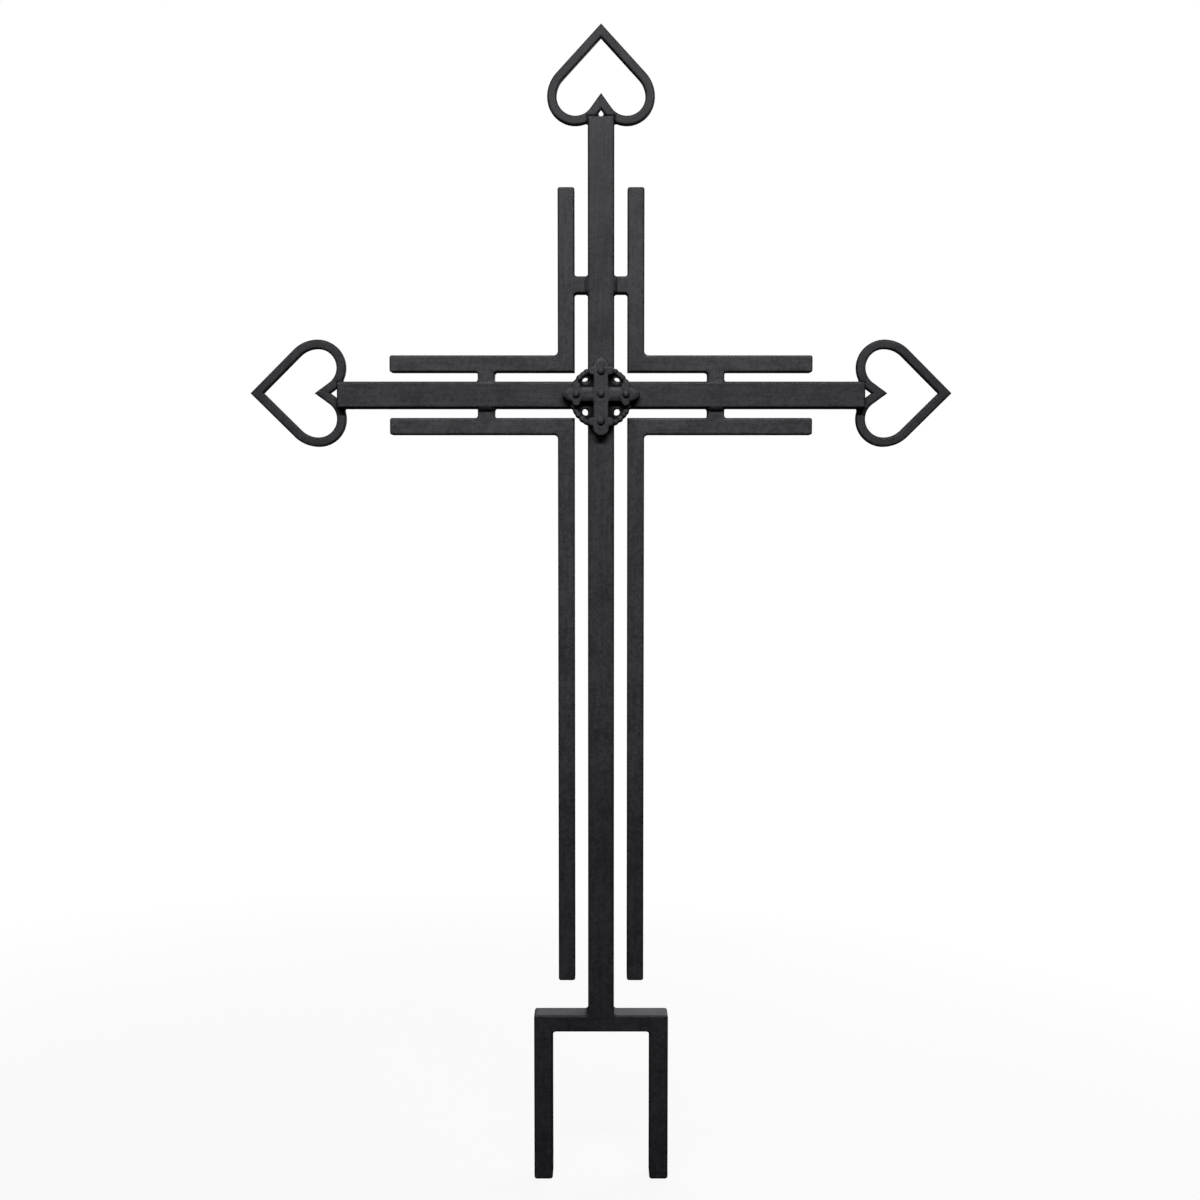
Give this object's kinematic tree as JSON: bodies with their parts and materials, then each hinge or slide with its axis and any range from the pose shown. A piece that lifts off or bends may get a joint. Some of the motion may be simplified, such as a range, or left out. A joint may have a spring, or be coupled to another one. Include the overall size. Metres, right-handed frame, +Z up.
{
  "type": "wrought iron cross",
  "caption": "Grave cross of square bars with offset side bars, open heart finials, a cast rosette at the crossing and a pronged fork to set in the ground.",
  "frame": {"origin": "middle of the underside of the fork's crosspiece, which sits on the ground", "axes": "+Z up along the post, -Y out of the front with the rosette, +X to the viewer's right along the arms"},
  "size_m": [0.667, 0.0338, 1.1075],
  "materials": {
    "bar_paint": "matte textured black paint on square steel bar",
    "heart_paint": "matte textured black paint on flat steel",
    "cast_paint": "matte black paint on a rough iron casting"
  },
  "bodies": {
    "root": {"post": "bar_paint", "arm_left": "bar_paint", "arm_right": "bar_paint", "upright_upper_left": "bar_paint", "upright_upper_right": "bar_paint", "upright_lower_left": "bar_paint", "upright_lower_right": "bar_paint", "rail_upper_left": "bar_paint", "rail_upper_right": "bar_paint", "rail_lower_left": "bar_paint", "rail_lower_right": "bar_paint", "spacer_top_left": "bar_paint", "spacer_top_right": "bar_paint", "spacer_left_upper": "bar_paint", "spacer_left_lower": "bar_paint", "spacer_right_upper": "bar_paint", "spacer_right_lower": "bar_paint", "heart_top": "heart_paint", "heart_left": "heart_paint", "heart_right": "heart_paint", "rosette": "cast_paint", "fork_crosspiece": "bar_paint", "prong_left": "bar_paint", "prong_right": "bar_paint"}
  },
  "joints": []
}
